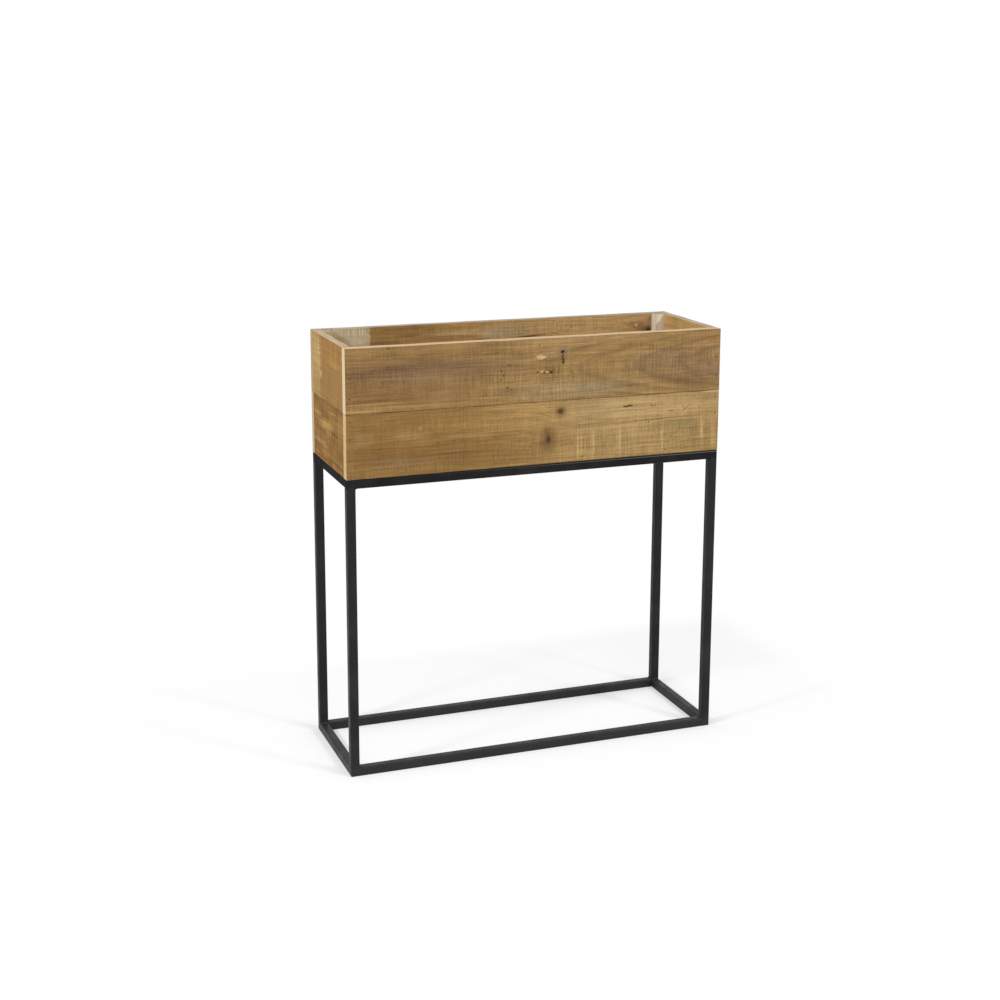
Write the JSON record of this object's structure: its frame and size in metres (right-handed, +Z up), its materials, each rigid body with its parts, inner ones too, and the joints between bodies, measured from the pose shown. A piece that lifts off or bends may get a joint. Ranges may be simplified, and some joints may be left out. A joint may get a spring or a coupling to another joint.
{
  "type": "planter on legs",
  "caption": "Long plank box planter with an open top, standing on a tall open frame of black square tube.",
  "frame": {"origin": "middle of the footprint, on the floor", "axes": "+X along the box, -Y the front wall, +Z up"},
  "size_m": [0.7, 0.235, 0.76],
  "materials": {
    "plank_wood": "oiled, weathered rough-sawn planks",
    "pale_wood": "bare pale softwood",
    "base_wood": "bare softwood boards",
    "black_coat": "satin black powder coat",
    "nail_steel": "dull steel nails",
    "zinc_screw": "zinc-plated screws"
  },
  "bodies": {
    "root": {"base_nails": "nail_steel", "corner_nails": "nail_steel", "frame_screws": "zinc_screw", "front_base_board": "base_wood", "front_bottom_rail": "black_coat", "front_left_corner_block": "pale_wood", "front_left_leg": "black_coat", "front_plank_lower": "plank_wood", "front_plank_upper": "plank_wood", "front_right_corner_block": "pale_wood", "front_right_leg": "black_coat", "front_top_rail": "black_coat", "left_bottom_rail": "black_coat", "left_end_plank_lower": "plank_wood", "left_end_plank_upper": "plank_wood", "left_top_rail": "black_coat", "rear_base_board": "base_wood", "rear_bottom_rail": "black_coat", "rear_left_corner_block": "pale_wood", "rear_left_leg": "black_coat", "rear_plank_lower": "plank_wood", "rear_plank_upper": "plank_wood", "rear_right_corner_block": "pale_wood", "rear_right_leg": "black_coat", "rear_top_rail": "black_coat", "right_bottom_rail": "black_coat", "right_end_plank_lower": "plank_wood", "right_end_plank_upper": "plank_wood", "right_top_rail": "black_coat"}
  },
  "joints": []
}
